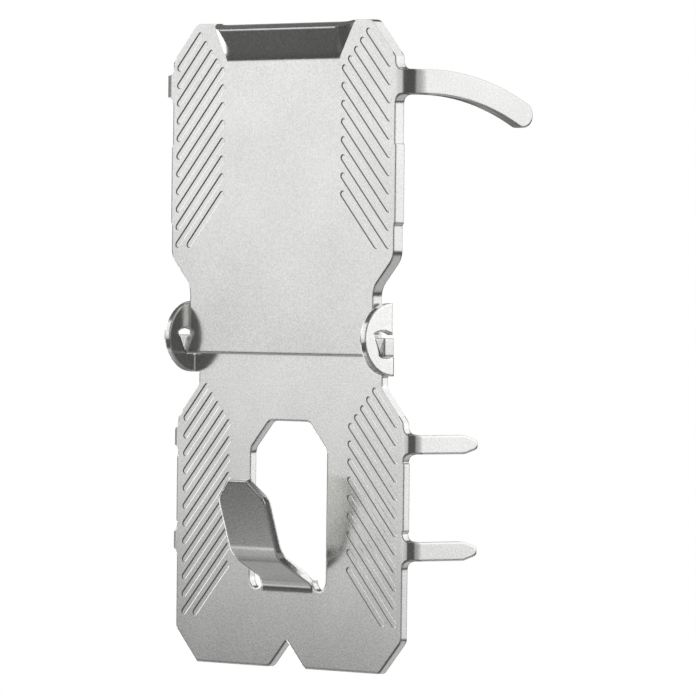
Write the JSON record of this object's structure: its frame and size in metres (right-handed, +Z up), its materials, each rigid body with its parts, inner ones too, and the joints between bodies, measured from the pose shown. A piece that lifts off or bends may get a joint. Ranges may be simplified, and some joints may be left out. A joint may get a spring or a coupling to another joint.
{
  "type": "drywall picture hanger",
  "caption": "Two-plate stamped steel wall hanger: spiked lower plate with a lanced hook, and a hinged upper plate whose curved claws swing into plasterboard.",
  "frame": {"origin": "on the wall plane, at the middle of the hinge line between the two plates", "axes": "+Z up the wall, +Y into the wall, -Y towards the room, X across the hanger along the hinge line"},
  "size_m": [0.05, 0.0275, 0.0826],
  "materials": {
    "hook_steel": "satin zinc plating",
    "claw_steel": "satin zinc plating"
  },
  "bodies": {
    "hook_plate": {"hook_plate": "hook_steel"},
    "claw_plate": {"claw_plate": "claw_steel"}
  },
  "joints": [
    {"name": "claw_fold", "type": "hinge", "parent": "hook_plate", "child": "claw_plate", "pos_m": [0, -0.00245, 0.00025], "axis": [1, 0, 0], "range_deg": [0, 24]}
  ]
}
